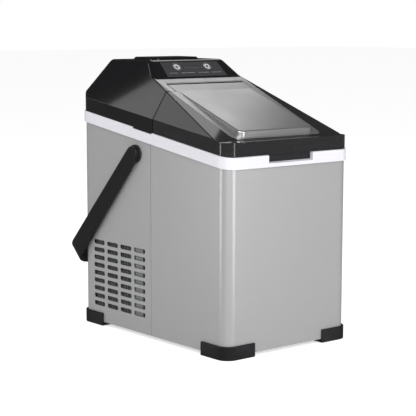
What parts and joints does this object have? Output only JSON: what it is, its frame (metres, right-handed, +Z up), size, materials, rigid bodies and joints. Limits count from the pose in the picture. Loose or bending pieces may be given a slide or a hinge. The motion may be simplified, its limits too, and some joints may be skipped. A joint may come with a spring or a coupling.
{
  "type": "countertop ice maker",
  "caption": "Countertop ice maker: grey sheet cabinet, sloping smoked lid with a silver plate, black cap with round keys, side vents, swinging carry handle, basket and freezing unit inside.",
  "frame": {"origin": "on the floor, under the middle of the overall box with the handle down at its rest", "axes": "+Z up, -Y is the front with the finger notch and the lid's free edge, +X is on the right of someone facing the front"},
  "size_m": [0.228, 0.3438, 0.3722],
  "materials": {
    "cabinet_paint": "satin silver-grey paint",
    "white_plastic": "near-white, satin",
    "gloss_black": "polished black",
    "smoked_plastic": "smoky black, polished, lets some light through",
    "silver_trim": "satin silver",
    "panel_film": "dark grey film",
    "key_plastic": "dark grey with a pale ring",
    "handle_plastic": "fine grained black",
    "dark_plastic": "black",
    "liner_plastic": "pale grey, smooth",
    "tray_plastic": "white, smooth",
    "foam": "poured foam",
    "galvanised": "bright zinc",
    "tube_metal": "bright plated",
    "copper": "bare copper",
    "fin_metal": "mill finish",
    "steel": "zinc plated",
    "black_enamel": "black enamel",
    "soft_rubber": "black",
    "circuit_board": "green solder mask"
  },
  "bodies": {
    "cabinet": {"base_pan": "dark_plastic", "bulkhead": "galvanised", "case_screws": "steel", "compressor": "black_enamel", "compressor_bolts": "steel", "compressor_grommets": "soft_rubber", "condenser": "fin_metal", "control_board": "circuit_board", "control_overlay": "panel_film", "corner_foot_front_left": "handle_plastic", "corner_foot_front_right": "handle_plastic", "corner_foot_rear_left": "handle_plastic", "corner_foot_rear_right": "handle_plastic", "discharge_tube": "copper", "drain_socket": "dark_plastic", "drier_tube": "copper", "evaporator": "tube_metal", "evaporator_bracket": "tray_plastic", "fan_motor": "dark_plastic", "fan_motor_bracket": "dark_plastic", "fan_shroud": "dark_plastic", "filter_drier": "copper", "float_guide": "tray_plastic", "front_panel_wrap": "cabinet_paint", "handle_bumpers": "soft_rubber", "handle_pivot_left": "dark_plastic", "handle_pivot_right": "dark_plastic", "hot_gas_valve": "steel", "ice_level_sensors": "dark_plastic", "inner_liner": "liner_plastic", "insulation_foam": "foam", "lid_hinge_pins": "steel", "liquid_tube": "copper", "power_board": "circuit_board", "power_inlet": "dark_plastic", "pump_hose": "soft_rubber", "rear_cap": "gloss_black", "rear_panel_wrap": "cabinet_paint", "suction_tube": "copper", "top_rim": "white_plastic", "tray_bearing": "tray_plastic", "tray_motor": "dark_plastic", "trim_strip": "silver_trim", "water_pump": "dark_plastic"},
    "lid": {"lid_shell": "smoked_plastic", "lid_plate": "silver_trim", "lid_gasket": "soft_rubber"},
    "handle": {"carry_handle": "handle_plastic"},
    "power_button": {"power_key": "key_plastic"},
    "select_button": {"select_key": "key_plastic"},
    "basket": {"ice_basket": "liner_plastic"},
    "tray": {"water_tray": "tray_plastic", "ice_rake": "tray_plastic"},
    "fan": {"fan_rotor": "dark_plastic"},
    "plug": {"drain_plug": "soft_rubber"},
    "level_float": {"water_float": "white_plastic"}
  },
  "joints": [
    {"name": "lid_open", "type": "hinge", "parent": "cabinet", "child": "lid", "pos_m": [0, -0.0016, 0.33412], "axis": [-1, 0, 0], "range_deg": [0, 85]},
    {"name": "handle_swing", "type": "hinge", "parent": "cabinet", "child": "handle", "pos_m": [0, 0.0181, 0.247], "axis": [1, 0, 0], "range_deg": [0, 136.4]},
    {"name": "power_key_press", "type": "slide", "parent": "cabinet", "child": "power_button", "axis": [0, 0.6691, -0.7431], "range_m": [0, 0.0008], "stiffness_N_per_m": 600},
    {"name": "select_key_press", "type": "slide", "parent": "cabinet", "child": "select_button", "axis": [0, 0.6691, -0.7431], "range_m": [0, 0.0008], "stiffness_N_per_m": 600},
    {"name": "basket_lift", "type": "slide", "parent": "cabinet", "child": "basket", "axis": [0, 0, 1], "range_m": [0, 0.03]},
    {"name": "tray_tilt", "type": "hinge", "parent": "cabinet", "child": "tray", "pos_m": [0, -0.04689, 0.208], "axis": [1, 0, 0], "range_deg": [0, 50]},
    {"name": "fan_spin", "type": "hinge", "parent": "cabinet", "child": "fan", "pos_m": [-0.0725, 0.0631, 0.076], "axis": [1, 0, 0], "continuous": true},
    {"name": "drain_plug_pull", "type": "slide", "parent": "cabinet", "child": "plug", "axis": [1, 0, 0], "range_m": [0, 0.03]},
    {"name": "float_rise", "type": "slide", "parent": "cabinet", "child": "level_float", "axis": [0, 0, 1], "range_m": [0, 0.022]}
  ]
}
